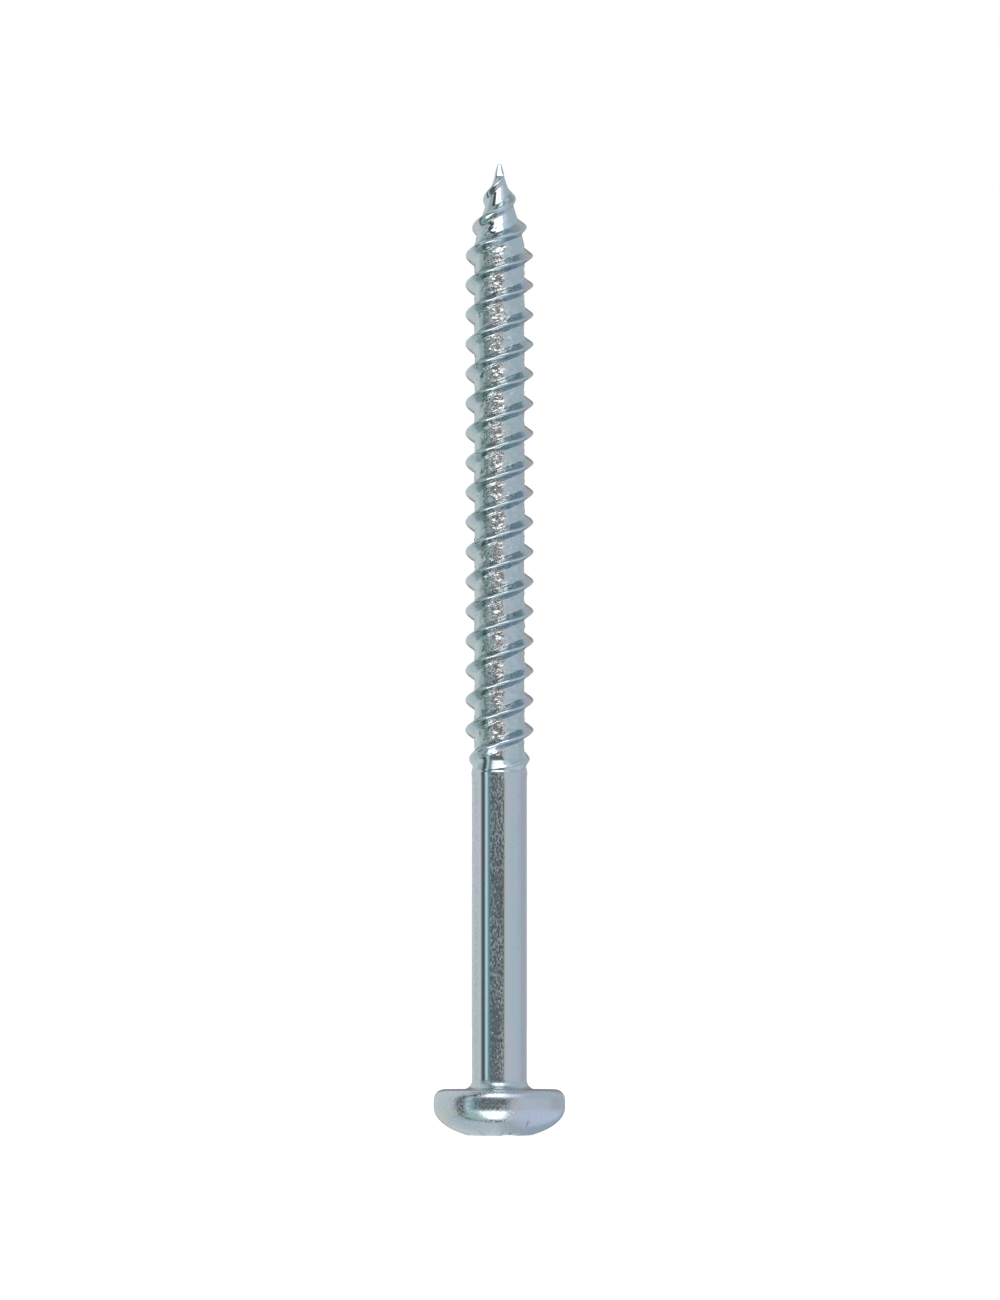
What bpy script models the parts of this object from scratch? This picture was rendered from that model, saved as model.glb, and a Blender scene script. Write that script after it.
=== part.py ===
"""A 6 x 80 mm pan-head wood screw, standing on the flat of its crown with its point up.

The real screw is one forging. It is modelled as its four named regions, which meet face to face on planes
across the axis: the head with its cross recess, the plain shank, the threaded shank with its two thread
ridges, and the gimlet point. Together they fill exactly the space of the one-piece screw.
"""

import math

import bmesh
import bpy
from mathutils import Matrix, Vector

MM = 0.001

# Lengths, in millimetres up from the crown.
NOMINAL_LENGTH = 80.0  # bearing face to tip
HEAD_HEIGHT = 3.95  # crown to bearing face
OVERALL = HEAD_HEIGHT + NOMINAL_LENGTH
NECK_TOP = 4.8  # the head's region ends here, just past the fillet
SHOULDER_LOW = 31.4  # the shank steps down to the core between these two heights
SHOULDER_HIGH = 32.25
FULL_THREAD = 34.4  # the ridges reach their full height here
POINT_LENGTH = 8.8
POINT_START = OVERALL - POINT_LENGTH

# The head.
HEAD_RADIUS = 5.65
CROWN_FLAT_RADIUS = 2.7
DOME_RISE = 2.75  # half height of the ellipse that the dome follows
EDGE_WIDTH = 0.85  # the rounded edge between the bearing face and the side
EDGE_DROP = 0.95
NECK_FILLET = 0.8

# The shank and the thread: two ridges, half a turn apart, right-handed.
SHANK_RADIUS = 2.36
CORE_RADIUS = 2.14
THREAD_RADIUS = 2.94
STARTS = 2
LEAD = 5.131  # rise of one ridge in a full turn
RIDGE_PHASE = 1.498  # height at which a ridge, run on down, would cross the +X side
CREST_HALF = 0.075  # half widths of a ridge along the axis
BASE_HALF = 0.57
RUN_OUT_POWER = 0.7  # how roundly the ridges sink into the shank

# The point.
OGIVE_LENGTH = 7.2
OGIVE_POWER = 1.15  # 1 would be a plain cone, more swells it
NOSE_RADIUS = 0.41  # the needle, which is blunt
NOSE_LENGTH = 1.1
RIDGE_ENDS = 1.0  # distance from the tip at which the ridges die out
RIDGE_FADE = 7.6  # length over which they do
RIDGE_FADE_POWER = 0.5

# The cross recess: four wings round a tapered centre, with a tick between each pair of wings.
RECESS_TURN = math.radians(19)
RECESS_DEPTH = 2.9
WING_RADIUS = 3.6
WING_SLOPE = math.tan(math.radians(26.5))
WING_HALF = 0.62
WING_DRAFT = 0.03
WING_ROUND = 0.28
CENTRE_RADIUS = 1.65
CENTRE_DRAFT = 0.12
CENTRE_CONE = 0.4  # height of the cone at the bottom
CUTTER_PAST = 0.6  # how far the cutters stand out of the crown
TICK_START = 2.65
TICK_END = 3.9
TICK_WIDTH = 0.2
TICK_DEPTH = 0.12
TICK_BLOCK = 0.5  # thickness of the block that cuts a tick

# How finely the surfaces are divided.
TURN_STEPS = 40
CENTRE_STEPS = 16
ARC_STEPS = 5
DOME_STEPS = 8
RINGS_PER_TURN = 16
POINT_RINGS = 30
NOSE_RINGS = 4
FLANK_STEPS = 3
CORE_STEPS = 5
NOSE_RING = 0.06  # the last ring's distance from the tip


def clear_scene():
    for obj in list(bpy.data.objects):
        bpy.data.objects.remove(obj)


def new_collection(name):
    collection = bpy.data.collections.new(name)
    bpy.context.scene.collection.children.link(collection)
    return collection


def zinc(name, color, roughness):
    """Bright zinc plating with a blue passivation."""
    material = bpy.data.materials.new(name)
    material.use_nodes = True
    shader = material.node_tree.nodes["Principled BSDF"]
    shader.inputs["Base Color"].default_value = (*color, 1.0)
    shader.inputs["Metallic"].default_value = 1.0
    shader.inputs["Roughness"].default_value = roughness
    return material


def add_object(name, mesh, collection, parent=None, height=0.0):
    obj = bpy.data.objects.new(name, mesh)
    obj.location.z = height * MM
    obj.parent = parent
    collection.objects.link(obj)
    return obj


def mesh_of(name, form):
    mesh = bpy.data.meshes.new(name)
    form.to_mesh(mesh)
    form.free()
    return mesh


def turned(name, profile, steps, collection, parent=None, height=0.0):
    """A solid of revolution. The profile lists (radius, height) from top to bottom down its outer side."""
    mesh = bpy.data.meshes.new(name)
    points = [(radius * MM, 0.0, z * MM) for radius, z in profile]
    edges = [(i, i + 1) for i in range(len(points) - 1)]
    mesh.from_pydata(points, edges, [])
    obj = add_object(name, mesh, collection, parent, height)
    screw = obj.modifiers.new("turn", "SCREW")
    screw.axis = "Z"
    screw.angle = math.tau
    screw.steps = steps
    screw.render_steps = steps
    screw.use_merge_vertices = True
    screw.merge_threshold = 0.000001
    screw.use_smooth_shade = True
    return obj


def arc(centre, radii, start, end, steps):
    """Points of an elliptical arc, its angles in degrees from the +radius direction towards +height."""
    found = []
    for i in range(steps + 1):
        angle = math.radians(start + (end - start) * i / steps)
        found.append((centre[0] + radii[0] * math.cos(angle), centre[1] + radii[1] * math.sin(angle)))
    return found


def dome_height(radius):
    """Height of the dome's surface at this distance from the axis."""
    centre = DOME_RISE * math.sqrt(1 - (CROWN_FLAT_RADIUS / HEAD_RADIUS) ** 2)
    return centre - DOME_RISE * math.sqrt(1 - (radius / HEAD_RADIUS) ** 2)


def head_profile():
    fillet_centre = (SHANK_RADIUS + NECK_FILLET, HEAD_HEIGHT + NECK_FILLET)
    edge_centre = (HEAD_RADIUS - EDGE_WIDTH, HEAD_HEIGHT - EDGE_DROP)
    dome_centre = (0.0, dome_height(HEAD_RADIUS))
    flat_angle = math.degrees(math.acos(CROWN_FLAT_RADIUS / HEAD_RADIUS))
    return [
        (0.0, NECK_TOP),
        (SHANK_RADIUS, NECK_TOP),
        *arc(fillet_centre, (NECK_FILLET, NECK_FILLET), 180, 270, ARC_STEPS),
        *arc(edge_centre, (EDGE_WIDTH, EDGE_DROP), 90, 0, ARC_STEPS),
        *arc(dome_centre, (HEAD_RADIUS, DOME_RISE), 0, -flat_angle, DOME_STEPS),
        (0.0, 0.0),
    ]


def wing_cutter(name, turn, collection):
    """One tapered blade, which cuts two opposite wings of the recess."""
    form = bmesh.new()
    bmesh.ops.create_cube(form, size=2.0)
    for vertex in form.verts:
        deep = vertex.co.z > 0
        z = RECESS_DEPTH if deep else -CUTTER_PAST
        half_length = WING_RADIUS - WING_SLOPE * z
        half_width = WING_HALF - WING_DRAFT * z
        vertex.co = Vector((vertex.co.x * half_length, vertex.co.y * half_width, z)) * MM
    long_edges = [e for e in form.edges if abs(e.verts[0].co.z - e.verts[1].co.z) > RECESS_DEPTH * MM]
    bmesh.ops.bevel(form, geom=long_edges, offset=WING_ROUND * MM, segments=2, profile=0.5, affect="EDGES")
    obj = add_object(name, mesh_of(name, form), collection)
    obj.rotation_euler.z = turn
    return obj


def centre_cutter(collection):
    """The recess's tapered round centre, which ends in a shallow cone."""
    low_radius = CENTRE_RADIUS + CENTRE_DRAFT * CUTTER_PAST
    high_radius = CENTRE_RADIUS - CENTRE_DRAFT * RECESS_DEPTH
    profile = [
        (0.0, RECESS_DEPTH + CENTRE_CONE),
        (high_radius, RECESS_DEPTH),
        (low_radius, -CUTTER_PAST),
        (0.0, -CUTTER_PAST),
    ]
    obj = turned("recess_centre_cutter", profile, CENTRE_STEPS, collection)
    obj.rotation_euler.z = RECESS_TURN
    return obj


def tick_cutter(index, collection):
    """A thin block, laid along the dome's slope, which cuts the tick between two wings."""
    name = f"tick_cutter_{index}"
    start, end = dome_height(TICK_START), dome_height(TICK_END)
    slope = math.atan2(end - start, TICK_END - TICK_START)
    length = math.hypot(end - start, TICK_END - TICK_START)
    middle = Vector(((TICK_START + TICK_END) / 2, 0.0, (start + end) / 2)) * MM
    form = bmesh.new()
    bmesh.ops.create_cube(form, size=1.0)
    bmesh.ops.scale(form, vec=Vector((length, TICK_WIDTH, TICK_BLOCK)) * MM, verts=form.verts)
    sunk = TICK_DEPTH - TICK_BLOCK / 2
    bmesh.ops.translate(form, vec=Vector((0.0, 0.0, sunk * MM)), verts=form.verts)
    bmesh.ops.rotate(form, matrix=Matrix.Rotation(-slope, 3, "Y"), verts=form.verts)
    bmesh.ops.translate(form, vec=middle, verts=form.verts)
    obj = add_object(name, mesh_of(name, form), collection)
    obj.rotation_euler.z = RECESS_TURN + math.radians(45 + 90 * index)
    return obj


def cut(obj, cutter):
    cutter.hide_render = True
    cutter.display_type = "WIRE"
    boolean = obj.modifiers.new(cutter.name, "BOOLEAN")
    boolean.operation = "DIFFERENCE"
    boolean.solver = "EXACT"
    boolean.object = cutter


def pan_head(parts, cutters, parent):
    obj = turned("pan_head", head_profile(), TURN_STEPS, parts, parent)
    cut(obj, wing_cutter("wing_cutter_0", RECESS_TURN, cutters))
    cut(obj, wing_cutter("wing_cutter_1", RECESS_TURN + math.radians(90), cutters))
    cut(obj, centre_cutter(cutters))
    for index in range(4):
        cut(obj, tick_cutter(index, cutters))
    obj.data.materials.append(zinc("zinc_on_head", (0.66, 0.70, 0.74), 0.2))
    return obj


def plain_shank(parts, parent):
    length = SHOULDER_LOW - NECK_TOP
    profile = [(0.0, length), (SHANK_RADIUS, length), (SHANK_RADIUS, 0.0), (0.0, 0.0)]
    obj = turned("plain_shank", profile, TURN_STEPS, parts, parent, NECK_TOP)
    obj.data.materials.append(zinc("zinc_on_shank", (0.62, 0.67, 0.71), 0.25))
    return obj


def body_radius(z):
    """Radius of the screw between the ridges at height z."""
    if z >= SHOULDER_HIGH:
        along = min(1.0, (OVERALL - z) / OGIVE_LENGTH)
        ogive = CORE_RADIUS * (1 - (1 - along) ** OGIVE_POWER)
        along_nose = min(1.0, (OVERALL - z) / NOSE_LENGTH)
        return max(ogive, NOSE_RADIUS * math.sqrt(along_nose))
    share = max(0.0, (z - SHOULDER_LOW) / (SHOULDER_HIGH - SHOULDER_LOW))
    return SHANK_RADIUS + (CORE_RADIUS - SHANK_RADIUS) * share


def ridge_height(z):
    """How far the ridges stand out of the body at height z."""
    full = THREAD_RADIUS - CORE_RADIUS
    if z < FULL_THREAD:
        share = max(0.0, (z - SHOULDER_LOW) / (FULL_THREAD - SHOULDER_LOW)) ** RUN_OUT_POWER
        crest = SHANK_RADIUS + (THREAD_RADIUS - SHANK_RADIUS) * share
        return crest - body_radius(z)
    along = min(1.0, max(0.0, (OVERALL - z - RIDGE_ENDS) / RIDGE_FADE))
    return full * along**RIDGE_FADE_POWER


def ring(z, height_of_origin):
    """The screw's cross-section at height z: a round body with one lobe for each ridge, as a closed outline."""
    body = body_radius(z)
    ridge = ridge_height(z)
    crest = CREST_HALF * math.tau / LEAD
    base = BASE_HALF * math.tau / LEAD
    flank = [i / FLANK_STEPS for i in range(FLANK_STEPS + 1)]
    lobe = [(-base + (base - crest) * s, body + ridge * s) for s in flank]
    lobe += [(crest + (base - crest) * s, body + ridge * (1 - s)) for s in flank]
    gap = math.tau / STARTS - 2 * base
    lobe += [(base + gap * i / CORE_STEPS, body) for i in range(1, CORE_STEPS)]
    points = []
    for start in range(STARTS):
        middle = (z - RIDGE_PHASE) * math.tau / LEAD + math.tau * start / STARTS
        for angle, radius in lobe:
            x = radius * math.cos(middle + angle)
            y = radius * math.sin(middle + angle)
            points.append(Vector((x, y, z - height_of_origin)) * MM)
    return points


def lofted(name, heights, tip, parts, parent):
    """A solid through the cross-sections at these heights, closed by a flat, or by a tip at the top."""
    origin = heights[0]
    form = bmesh.new()
    rings = [[form.verts.new(point) for point in ring(z, origin)] for z in heights]
    count = len(rings[0])
    for lower, upper in zip(rings, rings[1:]):
        for i in range(count):
            j = (i + 1) % count
            form.faces.new((lower[i], lower[j], upper[j], upper[i]))
    form.faces.new(reversed(rings[0]))
    if tip is None:
        form.faces.new(rings[-1])
    else:
        apex = form.verts.new((0.0, 0.0, (tip - origin) * MM))
        for i in range(count):
            form.faces.new((rings[-1][i], rings[-1][(i + 1) % count], apex))
    mesh = mesh_of(name, form)
    mesh.shade_smooth()
    mesh.set_sharp_from_angle(angle=math.radians(30))
    return add_object(name, mesh, parts, parent, origin)


def spread(start, end, steps):
    return [start + (end - start) * i / steps for i in range(steps + 1)]


def threaded_shank(parts, parent):
    steps = round((POINT_START - SHOULDER_LOW) / LEAD * RINGS_PER_TURN)
    heights = spread(SHOULDER_LOW, POINT_START, steps)
    heights = sorted({*heights, SHOULDER_HIGH})
    obj = lofted("threaded_shank", heights, None, parts, parent)
    obj.data.materials.append(zinc("zinc_on_thread", (0.58, 0.65, 0.68), 0.3))
    return obj


def gimlet_point(parts, parent):
    heights = spread(POINT_START, OVERALL - NOSE_LENGTH, POINT_RINGS)
    heights += spread(OVERALL - NOSE_LENGTH, OVERALL - NOSE_RING, NOSE_RINGS)[1:]
    obj = lofted("gimlet_point", heights, OVERALL, parts, parent)
    obj.data.materials.append(zinc("zinc_on_point", (0.64, 0.68, 0.71), 0.25))
    return obj


def main():
    clear_scene()
    parts = new_collection("wood_screw")
    cutters = new_collection("recess_cutters")
    cutters.hide_render = True
    axis = bpy.data.objects.new("screw_axis", None)
    parts.objects.link(axis)
    pan_head(parts, cutters, axis)
    plain_shank(parts, axis)
    threaded_shank(parts, axis)
    gimlet_point(parts, axis)


main()
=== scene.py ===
"""The looks of a pan-head wood screw, standing on its crown with its point up, on a plain white floor.

Each of the four solids is replaced by a finely made body with the same planes and the same thread. Heights
and radii are in millimetres until a mesh is made, and are measured from the crown and from the axis.
"""

import math

import bmesh
import bpy
import numpy as np
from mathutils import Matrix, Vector, noise


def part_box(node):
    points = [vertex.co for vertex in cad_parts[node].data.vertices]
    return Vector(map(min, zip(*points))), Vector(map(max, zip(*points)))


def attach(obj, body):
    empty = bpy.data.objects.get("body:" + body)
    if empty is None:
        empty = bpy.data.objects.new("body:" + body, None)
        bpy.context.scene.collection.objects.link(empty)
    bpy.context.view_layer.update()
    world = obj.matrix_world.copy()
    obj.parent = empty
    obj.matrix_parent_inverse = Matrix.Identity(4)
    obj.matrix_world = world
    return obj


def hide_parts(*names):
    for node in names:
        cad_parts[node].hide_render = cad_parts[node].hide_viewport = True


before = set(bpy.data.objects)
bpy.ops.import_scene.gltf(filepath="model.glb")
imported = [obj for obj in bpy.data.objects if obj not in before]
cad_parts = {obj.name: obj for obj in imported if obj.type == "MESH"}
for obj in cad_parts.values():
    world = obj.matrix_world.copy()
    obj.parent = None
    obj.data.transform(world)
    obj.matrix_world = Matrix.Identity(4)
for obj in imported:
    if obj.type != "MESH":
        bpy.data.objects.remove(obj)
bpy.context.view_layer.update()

MM = 0.001


def extent(node):
    """Lowest height, highest height and outer radius of a CAD node."""
    low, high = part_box(node)
    return low[2] / MM, high[2] / MM, high[0] / MM


# Read from the frame.
_, NECK_TOP, HEAD_RADIUS = extent("pan_head")
_, SHOULDER_LOW, SHANK_RADIUS = extent("plain_shank")
POINT_START, OVERALL, _ = extent("gimlet_point")

# The head.
HEAD_HEIGHT = 3.95
CROWN_FLAT_RADIUS = 2.7
DOME_RISE = 2.75
EDGE_WIDTH = 0.85
EDGE_DROP = 0.95
NECK_FILLET = 0.8
CROWN_EDGE_SOFT = 0.03

# The recess.
RECESS_TURN = math.radians(19)
RECESS_DEPTH = 2.9
WING_RADIUS = 3.6
WING_SLOPE = math.tan(math.radians(26.5))
WING_HALF = 0.62
WING_DRAFT = 0.03
WING_ROUND = 0.3
CENTRE_RADIUS = 1.65
CENTRE_DRAFT = 0.12
CENTRE_CONE = 0.4
CENTRE_ROUND = 0.25  # between the wings and the wider centre
LIP = 0.08
TICK_START = 2.65
TICK_END = 3.9
TICK_FADE = 0.25
TICK_HALF = 0.16
TICK_DEPTH = 0.12
TICK_SOFT = 0.3

# A nick on the dome.
NICK_TURN = math.radians(-61)
NICK_RADIUS = 4.75
NICK_LENGTH = 0.75
NICK_WIDTH = 0.14
NICK_DEPTH = 0.25

# The thread.
CORE_RADIUS = 2.14
THREAD_RADIUS = 2.94
FULL_RIDGE = THREAD_RADIUS - CORE_RADIUS
STARTS = 2
LEAD = 5.131
RIDGE_PHASE = 1.498
CREST_HALF = 0.075
BASE_HALF = 0.57
SHOULDER_HIGH = SHOULDER_LOW + 0.85
FULL_THREAD = SHOULDER_LOW + 3.0
RUN_OUT_POWER = 0.7
RING_TOP = SHOULDER_LOW - 0.1  # a faint raised ring on the shank, where the rolling began
RING_RISE = 0.5
RING_DROP = 0.16
RING_HEIGHT = 0.05
POINT_LENGTH = OVERALL - POINT_START
OGIVE_LENGTH = 7.2
OGIVE_POWER = 1.15
NOSE_RADIUS = 0.41
NOSE_LENGTH = 1.1
RIDGE_ENDS = 1.0
RIDGE_FADE = 7.6
RIDGE_FADE_POWER = 0.5
ROOT_ROUND = 0.18  # how far the ridges' roots and crests are rounded, as a share of the flank
CREST_ROUND = 0.22
LOBE_CROWDING = 1.25  # above 1 draws a ridge's points together near its crest
DENT_BROAD = 0.085  # the dents between the ridges
DENT_FINE = 0.04
FACET_LENGTH = 1.2  # the needle is pinched flat in front and behind
FACET_DEPTH = 0.85
LAST_RING = 0.12  # distance from the tip
TIP_CAP = 0.08


# ---------------------------------------------------------------------------------------------------------
# Shape helpers
# ---------------------------------------------------------------------------------------------------------


def smooth_max(a, b, reach):
    """The larger of two values, with a soft turn where they come within this reach of each other."""
    return np.maximum(a, b) + np.maximum(reach - np.abs(a - b), 0.0) ** 2 / (4 * reach)


def smooth_min(a, b, reach):
    return -smooth_max(-a, -b, reach)


def ease(value):
    """Soft steps from 0 to 1."""
    value = np.clip(value, 0.0, 1.0)
    return value * value * (3 - 2 * value)


def perlin(points, frequency, shift=0.0):
    """Gradient noise, about -1 to 1, at each of these points (millimetres)."""
    flat = points.reshape(-1, 3) * frequency + shift
    values = [noise.noise(Vector(p)) for p in flat.tolist()]
    return np.array(values).reshape(points.shape[:-1])


def closed_loft(name, rings, low_centre, high_centre):
    """A closed mesh through rings of points (millimetres), shut by a fan of triangles at each end."""
    ring_count, width = rings.shape[:2]
    points = np.concatenate([rings.reshape(-1, 3), [low_centre], [high_centre]]) * MM
    index = np.arange(ring_count * width).reshape(ring_count, width)
    across = np.roll(index, -1, axis=1)
    quads = np.stack([index[:-1], across[:-1], across[1:], index[1:]], axis=-1).reshape(-1, 4)
    low, high = ring_count * width, ring_count * width + 1
    fans = [(low, b, a) for a, b in zip(index[0].tolist(), across[0].tolist())]
    fans += [(high, a, b) for a, b in zip(index[-1].tolist(), across[-1].tolist())]
    mesh = bpy.data.meshes.new(name)
    mesh.from_pydata(points.tolist(), [], quads.tolist() + fans)
    mesh.shade_smooth()
    mesh.set_sharp_from_angle(angle=math.radians(50))
    obj = bpy.data.objects.new(name, mesh)
    bpy.context.scene.collection.objects.link(obj)
    return obj


def polar(angle, radius, height):
    """Points from cylinder coordinates, which broadcast against each other."""
    angle, radius, height = np.broadcast_arrays(angle, radius, height)
    return np.stack([radius * np.cos(angle), radius * np.sin(angle), height], axis=-1)


def push_out(points, distance):
    """Moves points away from the axis."""
    radius = np.maximum(np.hypot(points[..., 0], points[..., 1]), 1e-6)
    factor = 1 + distance / radius
    moved = points.copy()
    moved[..., 0] *= factor
    moved[..., 1] *= factor
    return moved


# ---------------------------------------------------------------------------------------------------------
# The head
# ---------------------------------------------------------------------------------------------------------

HEAD_COLUMNS = 720
FLOOR_RINGS = 9
WALL_RINGS = 26
LIP_RINGS = 7
CROWN_RINGS = 34
TICK_MARGIN = 0.2  # past the ticks' ends the rings are round
DOME_RINGS = 30
SIDE_RINGS = 5
EDGE_RINGS = 22
BEARING_RINGS = 14
FILLET_RINGS = 12
NECK_RINGS = 5


def crown_surface(radius):
    """Height of the crown and the dome: flat in the middle, then an ellipse, with a soft edge between."""
    centre = DOME_RISE * math.sqrt(1 - (CROWN_FLAT_RADIUS / HEAD_RADIUS) ** 2)
    inside = np.clip(1 - (radius / HEAD_RADIUS) ** 2, 0.0, 1.0)
    dome = centre - DOME_RISE * np.sqrt(inside)
    return smooth_max(dome, 0.0 * dome, CROWN_EDGE_SOFT)


def recess_outline(angle, depth, grown=0.0):
    """Distance from the axis to the recess's wall, at this angle and this depth below the crown."""
    quarter = math.radians(90)
    turned = np.abs((angle - RECESS_TURN + quarter / 2) % quarter - quarter / 2)
    length = WING_RADIUS - WING_SLOPE * depth + grown
    half = WING_HALF - WING_DRAFT * depth + grown
    centre = CENTRE_RADIUS - CENTRE_DRAFT * depth + grown
    end = length / np.cos(turned)
    side = half / np.maximum(np.sin(turned), 0.02)
    wing = smooth_min(end, side, WING_ROUND)
    return smooth_max(wing, centre + 0 * wing, CENTRE_ROUND)


def recess_rings(angle):
    """The recess from its lowest cone to the lip, as rings from the inside out."""
    rings = []
    for share in np.linspace(0.06, 1.0, FLOOR_RINGS):
        radius = recess_outline(angle, RECESS_DEPTH) * share
        rings.append(polar(angle, radius, RECESS_DEPTH + CENTRE_CONE * (1 - share)))
    mouth = recess_outline(angle, 0.0)
    surface = crown_surface(mouth)
    for share in np.linspace(0.0, 1.0, WALL_RINGS)[1:]:
        depth = RECESS_DEPTH + (surface + LIP - RECESS_DEPTH) * share
        rings.append(polar(angle, recess_outline(angle, depth), depth))
    return rings


def lip_rings(angle):
    """The rounded lip round the recess's mouth."""
    rings = []
    mouth = recess_outline(angle, 0.0)
    for turn in np.linspace(0.0, math.pi / 2, LIP_RINGS)[1:]:
        grown = LIP * (1 - math.cos(turn))
        radius = recess_outline(angle, crown_surface(mouth) + LIP * (1 - math.sin(turn)), grown)
        height = crown_surface(radius) + LIP * (1 - math.sin(turn))
        rings.append(polar(angle, radius, height))
    return rings


def tick_depth(angle, radius):
    """How deep the four ticks are sunk at this place on the crown."""
    quarter = math.radians(90)
    turned = (angle - RECESS_TURN) % quarter - quarter / 2
    across = np.abs(radius * np.sin(turned)) / TICK_HALF
    along = ease((radius - TICK_START) / TICK_FADE) * ease((TICK_END - radius) / TICK_FADE)
    return TICK_DEPTH * along * smooth_max(1 - across, 0 * across, TICK_SOFT)


def nick_depth(angle, radius):
    """How deep the nick is at this place on the dome."""
    across = NICK_RADIUS * (angle - math.tau - NICK_TURN) / NICK_WIDTH
    along = (radius - NICK_RADIUS) / NICK_LENGTH
    return NICK_DEPTH * np.clip(1 - 4 * across**2, 0.0, 1.0) * np.clip(1 - 4 * along**2, 0.0, 1.0)


def dome_rings(angle):
    """The crown and the dome from the lip to the side, with the ticks and the nick sunk into them."""
    rings = []
    mouth = np.hypot(*np.moveaxis(lip_rings(angle)[-1][..., :2], -1, 0))
    ring_radius = TICK_END + TICK_MARGIN
    for share in np.linspace(0.0, 1.0, CROWN_RINGS)[1:]:
        radius = mouth + (ring_radius - mouth) * share
        rings.append(polar(angle, radius, crown_surface(radius) + tick_depth(angle, radius)))
    start = math.asin(ring_radius / HEAD_RADIUS)
    for lean in np.linspace(start, math.pi / 2, DOME_RINGS)[1:]:
        radius = HEAD_RADIUS * math.sin(lean) + 0 * angle
        rings.append(polar(angle, radius, crown_surface(radius) + nick_depth(angle, radius)))
    return rings


def side_rings(angle):
    """The short side, the rounded edge, the bearing face, the fillet and the neck."""
    outline = []
    edge_centre = (HEAD_RADIUS - EDGE_WIDTH, HEAD_HEIGHT - EDGE_DROP)
    side_start = float(crown_surface(np.array([HEAD_RADIUS]))[0])
    for share in np.linspace(0.0, 1.0, SIDE_RINGS)[1:]:
        outline.append((HEAD_RADIUS, side_start + (edge_centre[1] - side_start) * share))
    for turn in np.linspace(0.0, math.pi / 2, EDGE_RINGS)[1:]:
        radius = edge_centre[0] + EDGE_WIDTH * math.cos(turn)
        outline.append((radius, edge_centre[1] + EDGE_DROP * math.sin(turn)))
    fillet_centre = (SHANK_RADIUS + NECK_FILLET, HEAD_HEIGHT + NECK_FILLET)
    for share in np.linspace(0.0, 1.0, BEARING_RINGS)[1:]:
        outline.append((edge_centre[0] + (fillet_centre[0] - edge_centre[0]) * share, HEAD_HEIGHT))
    for turn in np.linspace(0.0, math.pi / 2, FILLET_RINGS)[1:]:
        radius = fillet_centre[0] - NECK_FILLET * math.sin(turn)
        outline.append((radius, fillet_centre[1] - NECK_FILLET * math.cos(turn)))
    for share in np.linspace(0.0, 1.0, NECK_RINGS)[1:]:
        outline.append((SHANK_RADIUS, fillet_centre[1] + (NECK_TOP - fillet_centre[1]) * share))
    return [polar(angle, radius, height) for radius, height in outline]


def head_body():
    """The whole head as one loft, from the bottom of the recess round to the neck."""
    angle = np.linspace(0.0, math.tau, HEAD_COLUMNS, endpoint=False)
    rings = np.array(recess_rings(angle) + lip_rings(angle) + dome_rings(angle) + side_rings(angle))
    low = (0.0, 0.0, RECESS_DEPTH + CENTRE_CONE)
    obj = closed_loft("head_body", rings, low, (0.0, 0.0, NECK_TOP))
    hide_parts("pan_head")
    return obj


# ---------------------------------------------------------------------------------------------------------
# The shank
# ---------------------------------------------------------------------------------------------------------

SHANK_COLUMNS = 240
SHANK_RINGS = 220
RING_ZONE = 0.8  # the shank's end, which needs more rings for the raised ring
RING_ZONE_RINGS = 65


def shank_body():
    """A plain cylinder, but for the faint ring near its upper end."""
    angle = np.linspace(0.0, math.tau, SHANK_COLUMNS, endpoint=False)
    plain = np.linspace(NECK_TOP, SHOULDER_LOW - RING_ZONE, SHANK_RINGS)[:-1]
    ringed = np.linspace(SHOULDER_LOW - RING_ZONE, SHOULDER_LOW, RING_ZONE_RINGS)
    height = np.concatenate([plain, ringed])[:, None]
    below = RING_TOP - height
    ring = np.minimum(below / RING_DROP, 1 - (below - RING_DROP) / RING_RISE)
    radius = SHANK_RADIUS + RING_HEIGHT * np.clip(ring, 0.0, 1.0)
    rings = polar(angle, radius, height)
    obj = closed_loft("shank_body", rings, (0.0, 0.0, NECK_TOP), (0.0, 0.0, SHOULDER_LOW))
    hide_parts("plain_shank")
    return obj


# ---------------------------------------------------------------------------------------------------------
# The thread and the point
# ---------------------------------------------------------------------------------------------------------

THREAD_RINGS_PER_TURN = 84
LOBE_POINTS = 41
ROOT_POINTS = 28


def body_radius(z):
    """Radius between the ridges."""
    along = np.clip((OVERALL - z) / OGIVE_LENGTH, 0.0, 1.0)
    ogive = CORE_RADIUS * (1 - (1 - along) ** OGIVE_POWER)
    along_nose = np.clip((OVERALL - z) / NOSE_LENGTH, 0.0, 1.0)
    core = smooth_max(ogive, NOSE_RADIUS * np.sqrt(along_nose), 0.05)
    share = (z - SHOULDER_LOW) / (SHOULDER_HIGH - SHOULDER_LOW)
    shoulder = SHANK_RADIUS + (CORE_RADIUS - SHANK_RADIUS) * share
    return np.where(z < FULL_THREAD, smooth_max(shoulder, core, 0.03), core)


def ridge_height(z):
    """How far the ridges stand out of the body."""
    share = np.clip((z - SHOULDER_LOW) / (FULL_THREAD - SHOULDER_LOW), 0.0, 1.0) ** RUN_OUT_POWER
    run_out = SHANK_RADIUS + (THREAD_RADIUS - SHANK_RADIUS) * share - body_radius(z)
    along = np.clip((OVERALL - z - RIDGE_ENDS) / RIDGE_FADE, 0.0, 1.0)
    point = FULL_RIDGE * along**RIDGE_FADE_POWER
    return np.where(z < FULL_THREAD, run_out, point)


def dents(points):
    """How far the rolled surface between the ridges is dented in or raised, in millimetres."""
    broad = perlin(points, 2.2, 7.0)
    fine = perlin(points, 4.6, 31.0)
    worn = ease((OVERALL - points[..., 2] - 3.5) / 4.5) * ease((points[..., 2] - SHOULDER_HIGH) / 0.8)
    return worn * (DENT_BROAD * broad + DENT_FINE * fine)


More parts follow.
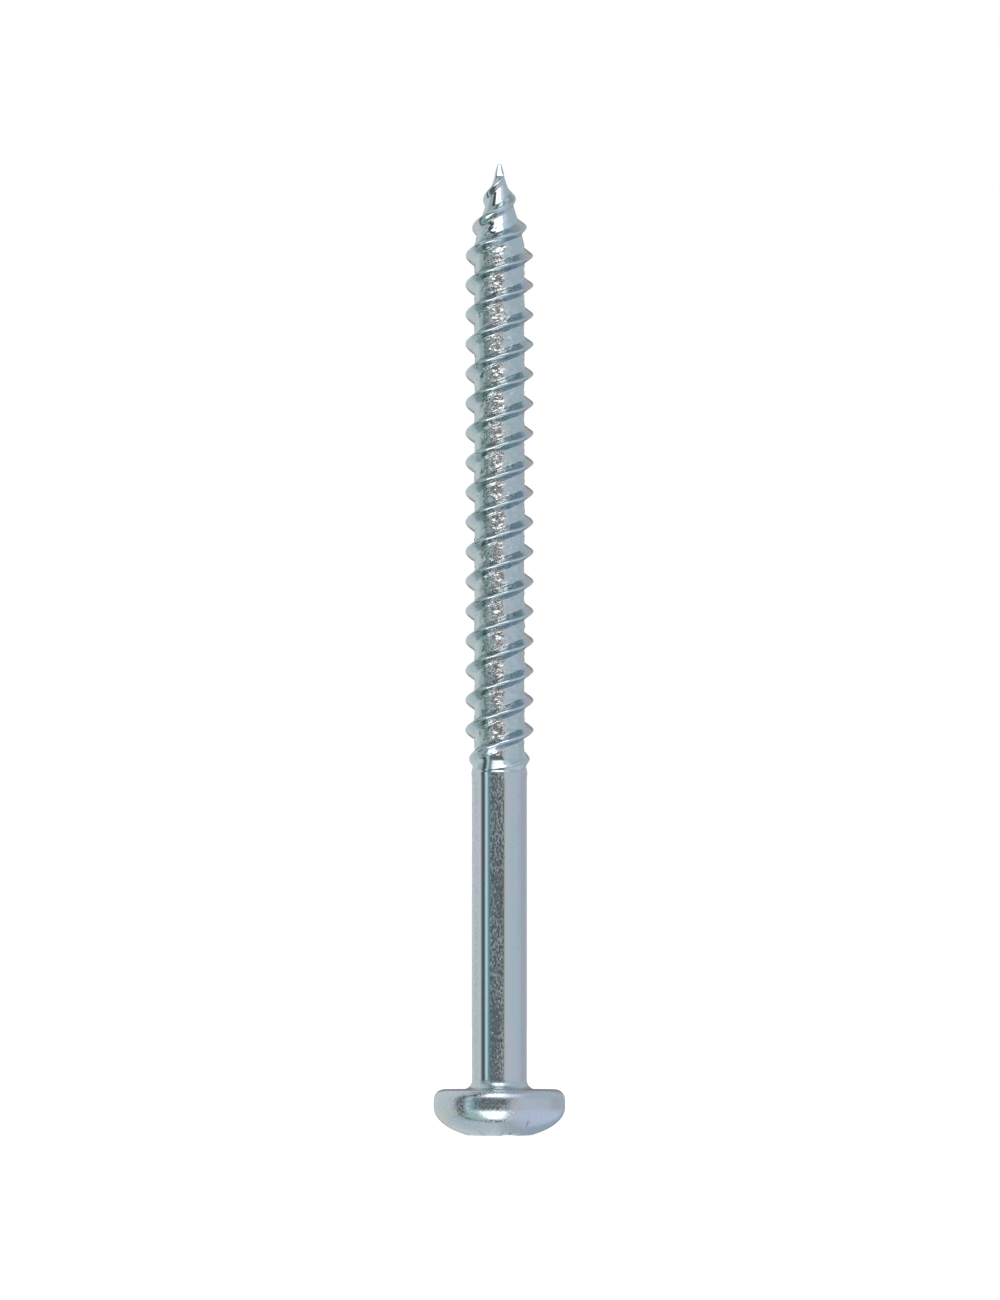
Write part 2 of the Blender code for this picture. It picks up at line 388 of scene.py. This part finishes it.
def threaded_rings(heights):
    """Cross-sections of the threaded part: a round body with a lobe for each ridge."""
    z = np.asarray(heights)[:, None]
    body, ridge = body_radius(z), ridge_height(z)
    flank = BASE_HALF - CREST_HALF
    reach = BASE_HALF + ROOT_ROUND * flank
    spread = np.linspace(-1.0, 1.0, LOBE_POINTS)
    along = np.sign(spread) * np.abs(spread) ** LOBE_CROWDING * reach
    rise = smooth_max((BASE_HALF - np.abs(along)) / flank, 0 * along, ROOT_ROUND)
    rise = smooth_min(rise, 1.0 + 0 * along, CREST_ROUND)
    gap_share = np.linspace(0.0, 1.0, ROOT_POINTS + 2)[1:-1]
    gap = reach + (LEAD / STARTS - 2 * reach) * gap_share
    offset = np.concatenate([along, gap])
    rise = np.concatenate([rise, 0 * gap])
    halves = []
    for start in range(STARTS):
        angle = ((z - RIDGE_PHASE + offset) / LEAD + start / STARTS) * math.tau
        points = polar(angle, body + ridge * rise, z)
        halves.append(push_out(points, dents(points) * (1 - 0.8 * rise)))
    return np.concatenate(halves, axis=1)


def pinched(rings):
    """The needle's rings, squeezed flat in front and behind."""
    half = np.hypot(rings[..., 0], rings[..., 1]).min(axis=1)
    fade = ease((OVERALL - rings[:, 0, 2] - FACET_LENGTH) / 0.1)
    limit = half * (FACET_DEPTH + (1 - FACET_DEPTH) * fade) + 5 * fade
    moved = rings.copy()
    moved[..., 1] = np.clip(rings[..., 1], -limit[:, None], limit[:, None])
    return moved


def thread_body():
    """The run-out and the evenly threaded length."""
    turns = (POINT_START - SHOULDER_LOW) / LEAD
    heights = np.linspace(SHOULDER_LOW, POINT_START, round(turns * THREAD_RINGS_PER_TURN))
    rings = threaded_rings(heights)
    obj = closed_loft("thread_body", rings, (0.0, 0.0, SHOULDER_LOW), (0.0, 0.0, POINT_START))
    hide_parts("threaded_shank")
    return obj


def point_body():
    """The tapering end, its fading ridges and the needle."""
    turns = POINT_LENGTH / LEAD
    along = np.linspace(0.0, 1.0, round(turns * THREAD_RINGS_PER_TURN))
    heights = POINT_START + (POINT_LENGTH - LAST_RING) * along
    rings = pinched(threaded_rings(heights))
    obj = closed_loft("point_body", rings, (0.0, 0.0, POINT_START), (0.0, 0.0, OVERALL - TIP_CAP))
    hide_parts("gimlet_point")
    return obj


# ---------------------------------------------------------------------------------------------------------
# Materials
# ---------------------------------------------------------------------------------------------------------


class Nodes:
    """A few short calls for building a node tree."""

    def __init__(self, tree):
        self.tree = tree

    def add(self, kind, inputs=(), **settings):
        node = self.tree.nodes.new(kind)
        for name, value in settings.items():
            setattr(node, name, value)
        for name, value in dict(inputs).items():
            if isinstance(value, bpy.types.NodeSocket):
                self.tree.links.new(value, node.inputs[name])
            else:
                node.inputs[name].default_value = value
        return node

    def math(self, operation, a, b=0.0):
        return self.add("ShaderNodeMath", {0: a, 1: b}, operation=operation).outputs[0]

    def between(self, value, low, high, to_low=0.0, to_high=1.0):
        """Maps a range of a value softly to another."""
        node = self.add(
            "ShaderNodeMapRange",
            {"Value": value, "From Min": low, "From Max": high, "To Min": to_low, "To Max": to_high},
            interpolation_type="SMOOTHSTEP",
        )
        return node.outputs["Result"]

    def mix(self, factor, a, b):
        node = self.add("ShaderNodeMix", {0: factor, 6: a, 7: b}, data_type="RGBA")
        return node.outputs[2]

    def noise(self, vector, scale, detail=2.0):
        node = self.add("ShaderNodeTexNoise", {"Vector": vector, "Scale": scale, "Detail": detail})
        return node.outputs["Fac"]

    def stretched(self, vector, scale):
        return self.add("ShaderNodeMapping", {"Vector": vector, "Scale": scale}).outputs[0]

    def bump(self, height, millimetres, below=None):
        """Raises the surface, on top of what an earlier bump did."""
        inputs = {"Height": height, "Distance": millimetres * MM}
        if below is not None:
            inputs["Normal"] = below
        return self.add("ShaderNodeBump", inputs).outputs[0]


BLUE = (0.57, 0.65, 0.68)
TEAL = (0.55, 0.65, 0.66)
LAVENDER = (0.63, 0.63, 0.7)
VIOLET = (0.61, 0.635, 0.71)
GREEN = (0.57, 0.66, 0.64)
# Painted shade for a dark stripe along the thread, left of the front.
STRIPE_SHADE = (0.38, 0.48, 0.48)
# Painted shade for the down-facing flanks right of the front.
FLANK_SHADE = (0.33, 0.42, 0.48)
# Partly the plating's own warmer tint, partly a painted warm glint, for the grainy roots.
SAND = (0.69, 0.68, 0.67)


def zinc(name, tints, gloss, pits, waves, lines=0.0, lumps=0.0, grain_on=None):
    """Bright zinc with a blue passivation.

    tints are the main one and two that it drifts to, and gloss is the lowest and highest roughness. Then
    come heights in millimetres: of fine pits, of shallow waves, of the lines along drawn wire, and of the
    lumps on a rolled surface. A rolled surface also gets painted shade: the down-facing flanks right of the
    front and a dark teal stripe left of the front are darkened in its colour, and its grainy roots are
    tinted warmer, partly the plating's own tint and partly a painted warm glint. grain_on makes, from the
    place on the surface, the share of the grain that is there.
    """
    material = bpy.data.materials.new(name)
    material.use_nodes = True
    nodes = Nodes(material.node_tree)
    coordinates = nodes.add("ShaderNodeTexCoord").outputs
    place = coordinates["Object"]
    flow = nodes.stretched(place, (1.0, 1.0, 0.3)) if lines else place
    fine = nodes.stretched(place, (1.4, 1.4, 0.65)) if lines else place
    grained = grain_on(nodes, place) if grain_on else 1.0

    drift = nodes.between(nodes.noise(flow, 260.0, 3.0), 0.4, 0.65)
    patches = nodes.noise(flow, 700.0)
    color = nodes.mix(drift, (*tints[0], 1.0), (*tints[1], 1.0))
    color = nodes.mix(nodes.between(patches, 0.5, 0.75), color, (*tints[2], 1.0))
    if lumps:
        # The grainy roots are tinted warmer: partly the plating's own tint, partly a painted warm glint.
        color = nodes.mix(nodes.math("MULTIPLY", grained, 0.8), color, (*SAND, 1.0))
        # Painted shade: the down-facing flanks right of the front are darkened.
        color = nodes.mix(flank_shade_mask(nodes, coordinates), color, (*FLANK_SHADE, 1.0))
        # Painted shade: a dark teal stripe along the thread, left of the front, broken up by the patches.
        painted_stripe = stripes(nodes, place, 2, -40.0, 0.8, 1.0)
        painted_stripe = nodes.math("MULTIPLY", painted_stripe, nodes.between(patches, 0.3, 0.5))
        color = nodes.mix(painted_stripe, color, (*STRIPE_SHADE, 1.0))

    grain = nodes.between(nodes.noise(fine, 5200.0, 1.5), 0.36, 0.62)
    thinned = nodes.between(nodes.noise(flow, 420.0, 1.0), 0.35, 0.6, 0.55, 1.0)
    grain = nodes.math("MULTIPLY", nodes.math("MULTIPLY", grain, thinned), grained)
    rough = nodes.between(grain, 0.0, 1.0, gloss[0], gloss[1])

    holes = nodes.between(nodes.noise(place, 4200.0, 1.0), 0.62, 0.8, 0.0, -1.0)
    normal = nodes.bump(nodes.math("MULTIPLY", holes, grained), pits)
    if lumps:
        normal = nodes.bump(nodes.math("MULTIPLY", nodes.noise(place, 2800.0), grained), lumps, normal)
    normal = nodes.bump(nodes.noise(place, 2400.0), waves, normal)
    if lines:
        drawn = nodes.noise(nodes.stretched(place, (1.0, 1.0, 0.012)), 5200.0)
        normal = nodes.bump(drawn, lines, normal)

    shader = material.node_tree.nodes["Principled BSDF"]
    for socket, value in (("Base Color", color), ("Roughness", rough), ("Normal", normal)):
        material.node_tree.links.new(value, shader.inputs[socket])
    shader.inputs["Metallic"].default_value = 1.0
    return material


def flank_shade_mask(nodes, coordinates):
    """Where shade is painted: the ridges' flanks that face down, right of the front."""
    up = nodes.add("ShaderNodeSeparateXYZ", {"Vector": coordinates["Normal"]}).outputs[2]
    down = nodes.between(up, -0.75, -0.4, 0.8, 0.0)
    return nodes.math("MULTIPLY", down, stripes(nodes, coordinates["Object"], 2, 45.0, -0.3, 0.6))


def stripes(nodes, place, count, middle, low=-0.3, high=0.3):
    """Stripes along the screw; the middle of one of them lies this many degrees right of the front."""
    x, y, _ = nodes.add("ShaderNodeSeparateXYZ", {"Vector": place}).outputs
    turn = nodes.math("ARCTAN2", x, nodes.math("MULTIPLY", y, -1.0))
    turn = nodes.math("MULTIPLY", nodes.math("SUBTRACT", turn, math.radians(middle)), float(count))
    return nodes.between(nodes.math("COSINE", turn), low, high)


def drawn_wire(nodes, place):
    """Where the shank is grainy."""
    return stripes(nodes, place, 6, -6.0)


def rolled_roots(nodes, place):
    """Where the thread is grainy: between the ridges, and not near the tip or the shank."""
    x, y, z = nodes.add("ShaderNodeSeparateXYZ", {"Vector": place}).outputs
    squares = nodes.math("ADD", nodes.math("MULTIPLY", x, x), nodes.math("MULTIPLY", y, y))
    radius = nodes.math("SQRT", squares)
    deep = nodes.between(radius, (CORE_RADIUS + 0.1) * MM, (CORE_RADIUS + 0.25) * MM, 1.0, 0.0)
    above = nodes.between(z, SHOULDER_HIGH * MM, (SHOULDER_HIGH + 0.6) * MM)
    below = nodes.between(z, (OVERALL - 8.5) * MM, (OVERALL - 6.5) * MM, 1.0, 0.0)
    there = nodes.math("MULTIPLY", nodes.math("MULTIPLY", deep, above), below)
    return nodes.math("MULTIPLY", there, stripes(nodes, place, 3, -14.0, -0.4, 0.5))


def dress(obj, material):
    """Gives a piece its material and fixes it to the screw's one body."""
    obj.data.materials.append(material)
    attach(obj, "root")


# ---------------------------------------------------------------------------------------------------------
# The studio
# ---------------------------------------------------------------------------------------------------------


def floor():
    size = 4.0
    mesh = bpy.data.meshes.new("floor")
    corners = [(-size, -size, 0.0), (size, -size, 0.0), (size, size, 0.0), (-size, size, 0.0)]
    mesh.from_pydata(corners, [], [(0, 1, 2, 3)])
    obj = bpy.data.objects.new("floor", mesh)
    bpy.context.scene.collection.objects.link(obj)
    material = bpy.data.materials.new("white_floor")
    material.use_nodes = True
    shader = material.node_tree.nodes["Principled BSDF"]
    shader.inputs["Base Color"].default_value = (0.2, 0.2, 0.2, 1.0)
    shader.inputs["Roughness"].default_value = 0.9
    shader.inputs["Emission Color"].default_value = (1.0, 1.0, 1.0, 1.0)
    shader.inputs["Emission Strength"].default_value = 0.9
    mesh.materials.append(material)
    obj.visible_glossy = False


TENT_RADIUS = 200.0
TENT_MIDDLE = 42.0

# The tent's bright and dark panels: left, right, down and up, as degrees seen from the tent's middle, then
# the softness of their edges, in degrees too, a tint and a strength. Left and right are counted from
# straight in front, positive to the camera's right, and down and up from the horizon. Each panel is laid
# over the ones before it.
PANELS = [
    (-180, 0, -90, 90, 10, (0.94, 0.985, 1.0), 0.8),
    (0, 180, -90, 90, 10, (0.82, 0.91, 1.0), 0.76),
    (14, 48, -90, 90, 10, (0.95, 0.98, 1.0), 0.72),
    (19, 55, 28, 78, 8, (0.85, 0.93, 1.05), 1.0),
    (100, 180, -90, 90, 14, (0.88, 0.93, 1.0), 0.6),
    (45, 150, -72, -22, 12, (0.86, 0.96, 1.1), 0.81),
    (-170, -88, -72, -42, 10, (0.86, 0.95, 1.02), 0.75),
    (-165, -88, -42, -16, 6, (0.97, 0.985, 0.93), 0.8),
    (45, 150, 5, 42, 7, (0.8, 0.91, 1.0), 0.69),
    (150, 190, -50, -14, 7, (0.64, 0.85, 1.02), 0.58),
    (-180, 180, 60, 90, 8, (0.85, 0.95, 1.0), 0.45),
    (-180, 180, 79, 90, 4, (0.92, 0.96, 1.05), 0.8),
    (148, 192, 3, 32, 6, (0.95, 0.82, 0.8), 0.5),
    (-192, -160, 3, 32, 6, (0.9, 0.8, 0.8), 0.5),
    (165, 195, -25, 60, 8, (0.9, 0.85, 0.9), 0.3),
    (-195, -165, -25, 60, 8, (0.9, 0.85, 0.9), 0.3),
    (-84, -38, -78, -33, 3, (0.75, 0.97, 0.93), 0.7),
    (-100, 35, -92, -78, 2, (0.8, 0.95, 0.9), 0.12),
    (-96, -83, -83, -46, 2, (0.8, 0.95, 0.95), 0.15),
    (-89, -70, -48, -38, 2, (0.8, 0.95, 0.95), 0.15),
    (-96, -82, 44, 80, 4, (0.8, 0.95, 0.95), 0.35),
    (-82, -62, -39, 34, 5, (0.78, 0.93, 0.98), 0.14),
    (-61, -50, -38, 30, 2, (0.8, 1.0, 1.02), 0.95),
    (-50, -35, -20, 27, 2, (0.5, 0.9, 1.05), 0.22),
    (-50, -43, -30, 27, 2, (0.5, 0.95, 1.02), 0.45),
    (-68, -35, 29, 78, 2, (1.0, 0.95, 1.0), 0.09),
    (-36, 19, 27, 70, 3, (1.0, 1.0, 1.0), 2.3),
    (-36, 13, -76, -33, 3, (1.0, 1.0, 1.0), 2.3),
    (-36, 13, -30, -11, 2, (1.0, 0.96, 0.96), 0.23),
    (-36, 22, 1, 24, 6, (1.0, 0.96, 0.94), 0.22),
    (-36, 20, -12, 1, 2, (1.02, 0.97, 0.88), 0.14),
    (-38, 0, -12, 1, 5, (0.75, 0.95, 1.15), 0.17),
]


def light_tent():
    """A round tent of pale and dark cloth about the screw, which shows only in what the screw mirrors."""
    form = bmesh.new()
    bmesh.ops.create_uvsphere(form, u_segments=96, v_segments=48, radius=TENT_RADIUS * MM)
    mesh = bpy.data.meshes.new("light_tent")
    form.to_mesh(mesh)
    form.free()
    obj = bpy.data.objects.new("light_tent", mesh)
    obj.location.z = TENT_MIDDLE * MM
    bpy.context.scene.collection.objects.link(obj)
    obj.visible_camera = False
    obj.visible_diffuse = False
    obj.visible_shadow = False

    material = bpy.data.materials.new("tent_cloth")
    mesh.materials.append(material)
    material.use_nodes = True
    tree = material.node_tree
    tree.nodes.clear()
    nodes = Nodes(tree)
    place = nodes.add("ShaderNodeTexCoord").outputs["Object"]
    direction = nodes.add("ShaderNodeVectorMath", {0: place}, operation="NORMALIZE").outputs[0]
    x, y, z = nodes.add("ShaderNodeSeparateXYZ", {"Vector": direction}).outputs
    azimuth = nodes.math("ARCTAN2", x, nodes.math("MULTIPLY", y, -1.0))
    height = nodes.math("ARCSINE", z)

    def inside(angle, low, high, soft):
        """1 between these angles, in degrees, and 0 outside, with an edge this soft."""
        rising = nodes.between(angle, math.radians(low - soft), math.radians(low + soft))
        falling = nodes.between(angle, math.radians(high - soft), math.radians(high + soft), 1.0, 0.0)
        return nodes.math("MULTIPLY", rising, falling)

    color = (0.9, 0.94, 0.98, 1.0)
    for left, right, down, up, soft, tint, strength in PANELS:
        mask = inside(height, down if down > -90 else -120, up if up < 90 else 120, soft)
        if right - left < 360:
            mask = nodes.math("MULTIPLY", mask, inside(azimuth, left, right, soft))
        panel = tuple(channel * strength for channel in tint) + (1.0,)
        color = nodes.mix(mask, color, panel)
    glow = nodes.add("ShaderNodeEmission", {"Color": color, "Strength": 1.0}).outputs[0]
    nodes.add("ShaderNodeOutputMaterial", {"Surface": glow})


def sky():
    world = bpy.data.worlds.new("white_room")
    bpy.context.scene.world = world
    world.use_nodes = True
    world.node_tree.nodes["Background"].inputs["Color"].default_value = (1.0, 1.0, 1.0, 1.0)


CAMERA_DISTANCE = 605.0
CAMERA_HEIGHT = 10.7
FRAME_HEIGHT = 112.09  # how much of the screw's plane the picture's height takes in
FRAME_MIDDLE = (0.05, 41.75)  # the picture's middle, right of the axis and above the crown


def camera():
    data = bpy.data.cameras.new("camera")
    obj = bpy.data.objects.new("camera", data)
    bpy.context.scene.collection.objects.link(obj)
    obj.location = Vector((FRAME_MIDDLE[0], -CAMERA_DISTANCE, CAMERA_HEIGHT)) * MM
    target = Vector((FRAME_MIDDLE[0], 0.0, FRAME_MIDDLE[1])) * MM
    aim = target - obj.location
    obj.rotation_euler = aim.to_track_quat("-Z", "Y").to_euler()
    data.sensor_width = 36.0
    data.lens = data.sensor_width * aim.length / (FRAME_HEIGHT * MM)
    data.clip_start = 0.01
    data.clip_end = 20.0
    bpy.context.scene.camera = obj


def main():
    wire, rolled = (BLUE, LAVENDER, TEAL), (BLUE, TEAL, LAVENDER)
    thread_looks = dict(pits=0.02, waves=0.004, lumps=0.09, grain_on=rolled_roots)
    dress(head_body(), zinc("zinc_head", (BLUE, VIOLET, GREEN), (0.16, 0.36), pits=0.01, waves=0.004))
    shank_looks = dict(pits=0.012, waves=0.001, lines=0.001, grain_on=drawn_wire)
    dress(shank_body(), zinc("zinc_shank", wire, (0.12, 0.44), **shank_looks))
    dress(thread_body(), zinc("zinc_thread", rolled, (0.14, 0.38), **thread_looks))
    dress(point_body(), zinc("zinc_point", rolled, (0.14, 0.38), **thread_looks))
    floor()
    light_tent()
    sky()
    camera()
    bpy.context.scene.view_settings.view_transform = "Standard"


main()
